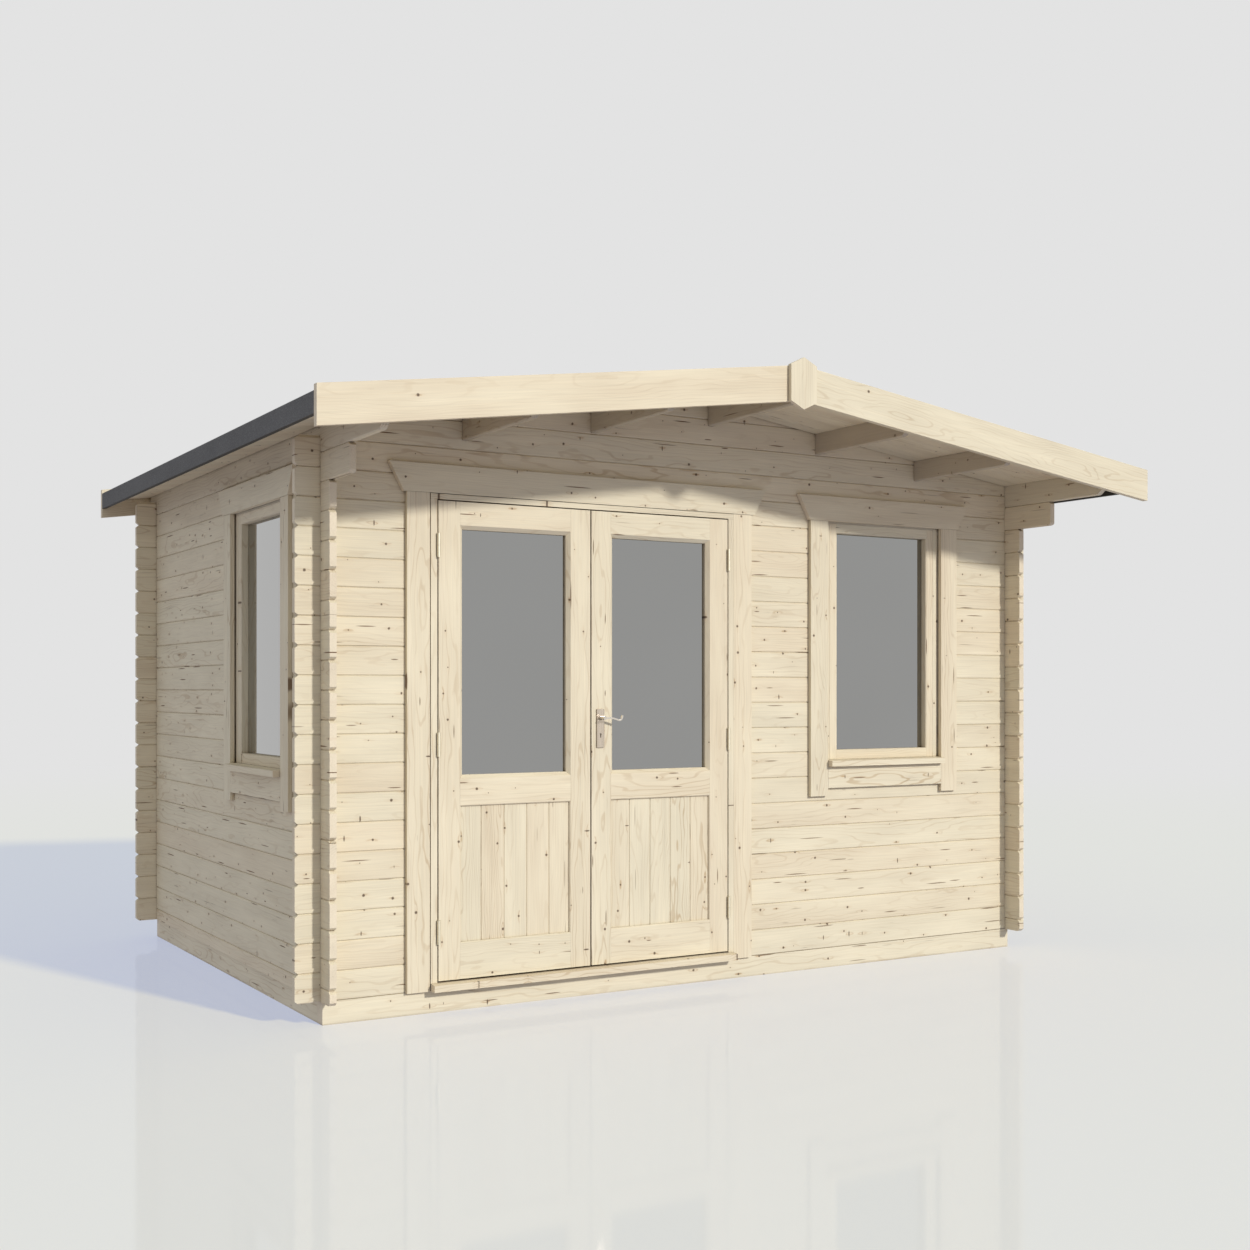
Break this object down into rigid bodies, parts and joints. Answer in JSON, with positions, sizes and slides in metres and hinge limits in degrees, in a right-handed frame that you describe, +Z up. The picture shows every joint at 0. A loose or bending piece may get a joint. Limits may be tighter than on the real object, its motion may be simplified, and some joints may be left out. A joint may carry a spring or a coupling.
{
  "type": "log cabin",
  "caption": "Single-room garden log cabin with interlocking log walls, low gable roof with a front canopy, glazed double doors and fixed windows.",
  "frame": {"origin": "on the ground, in the middle of the roof's plan", "axes": "+X along the front wall to the right, +Y from the front wall into the cabin, +Z up"},
  "size_m": [4.096, 3.3466, 2.635],
  "materials": {
    "spruce": "planed, untreated",
    "base_timber": "sawn, untreated",
    "roofing_felt": "mineral-faced, matt",
    "glass": "clear float",
    "hinge_steel": "satin lacquer",
    "brushed_nickel": "brushed"
  },
  "bodies": {
    "root": {"base_frame": "base_timber", "floor_boards": "spruce", "front_wall_left": "spruce", "front_wall_middle": "spruce", "front_wall_lower": "spruce", "front_wall_right": "spruce", "front_gable": "spruce", "back_wall": "spruce", "back_gable": "spruce", "left_wall_front": "spruce", "left_wall_back": "spruce", "left_wall_lower": "spruce", "left_wall_top": "spruce", "right_wall": "spruce", "ridge_purlin": "spruce", "middle_purlins": "spruce", "eaves_purlins": "spruce", "roof_boards_left": "spruce", "roof_boards_right": "spruce", "roof_felt_left": "roofing_felt", "roof_felt_right": "roofing_felt", "eaves_boards": "roofing_felt", "front_barge_boards": "spruce", "rear_barge_boards": "spruce", "finials": "spruce", "door_frame": "spruce", "door_sill": "spruce", "door_trims": "spruce", "window_frames": "spruce", "window_sashes": "spruce", "window_glass": "glass", "window_sills": "spruce", "window_trims": "spruce", "frame_hinges": "hinge_steel"},
    "left_door": {"left_leaf": "spruce", "left_leaf_panel": "spruce", "left_leaf_glass": "glass", "left_leaf_hinges": "hinge_steel"},
    "right_door": {"right_leaf": "spruce", "right_leaf_panel": "spruce", "right_leaf_glass": "glass", "right_leaf_hinges": "hinge_steel", "handle_plates": "brushed_nickel"},
    "lever": {"door_lever": "brushed_nickel"}
  },
  "joints": [
    {"name": "left_door_hinge", "type": "hinge", "parent": "root", "child": "left_door", "pos_m": [-1.321, -1.026, 1], "axis": [0, 0, -1], "range_deg": [0, 165]},
    {"name": "right_door_hinge", "type": "hinge", "parent": "root", "child": "right_door", "pos_m": [0.077, -1.026, 1], "axis": [0, 0, 1], "range_deg": [0, 165]},
    {"name": "lever_turn", "type": "hinge", "parent": "right_door", "child": "lever", "pos_m": [-0.578, -1.018, 1.169], "axis": [0, 1, 0], "range_deg": [0, 45], "stiffness_Nm_per_rad": 1, "springref_deg": -34.38}
  ]
}
